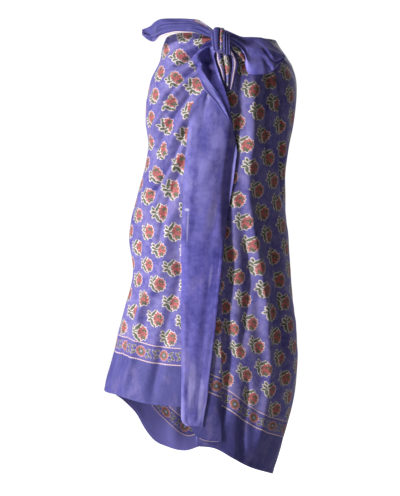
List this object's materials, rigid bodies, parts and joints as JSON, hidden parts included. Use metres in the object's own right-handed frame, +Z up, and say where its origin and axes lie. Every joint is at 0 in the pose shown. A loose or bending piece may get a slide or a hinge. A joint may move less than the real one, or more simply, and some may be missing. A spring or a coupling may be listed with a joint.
{
  "type": "sarong",
  "caption": "Worn wrap sarong: one printed cotton cloth round the hips, open down the front and knotted at the waist, with a hanging end border and two tie ends.",
  "frame": {"origin": "centre of the wearer's waist, level with the cloth's upper edge, where the sarong is held up", "axes": "+Z up, the front with the knot faces -Y, +X towards the viewer's right"},
  "size_m": [0.4755, 0.3045, 1.1023],
  "materials": {
    "printed_cloth": "matt cotton voile, block printed with small flower sprigs",
    "plain_border": "matt cotton voile, plain dyed with soft streaks",
    "border_reverse": "matt cotton voile, the cloth's reverse side"
  },
  "bodies": {
    "root": {"wrap": "printed_cloth", "front_pleat": "printed_cloth", "knot_gather_1": "printed_cloth", "knot_gather_2": "printed_cloth", "knot_gather_3": "printed_cloth", "tie_roll": "printed_cloth", "end_border": "plain_border", "end_border_turn": "border_reverse", "knot": "plain_border", "tie_end_left": "plain_border", "tie_end_right": "plain_border"}
  },
  "joints": []
}
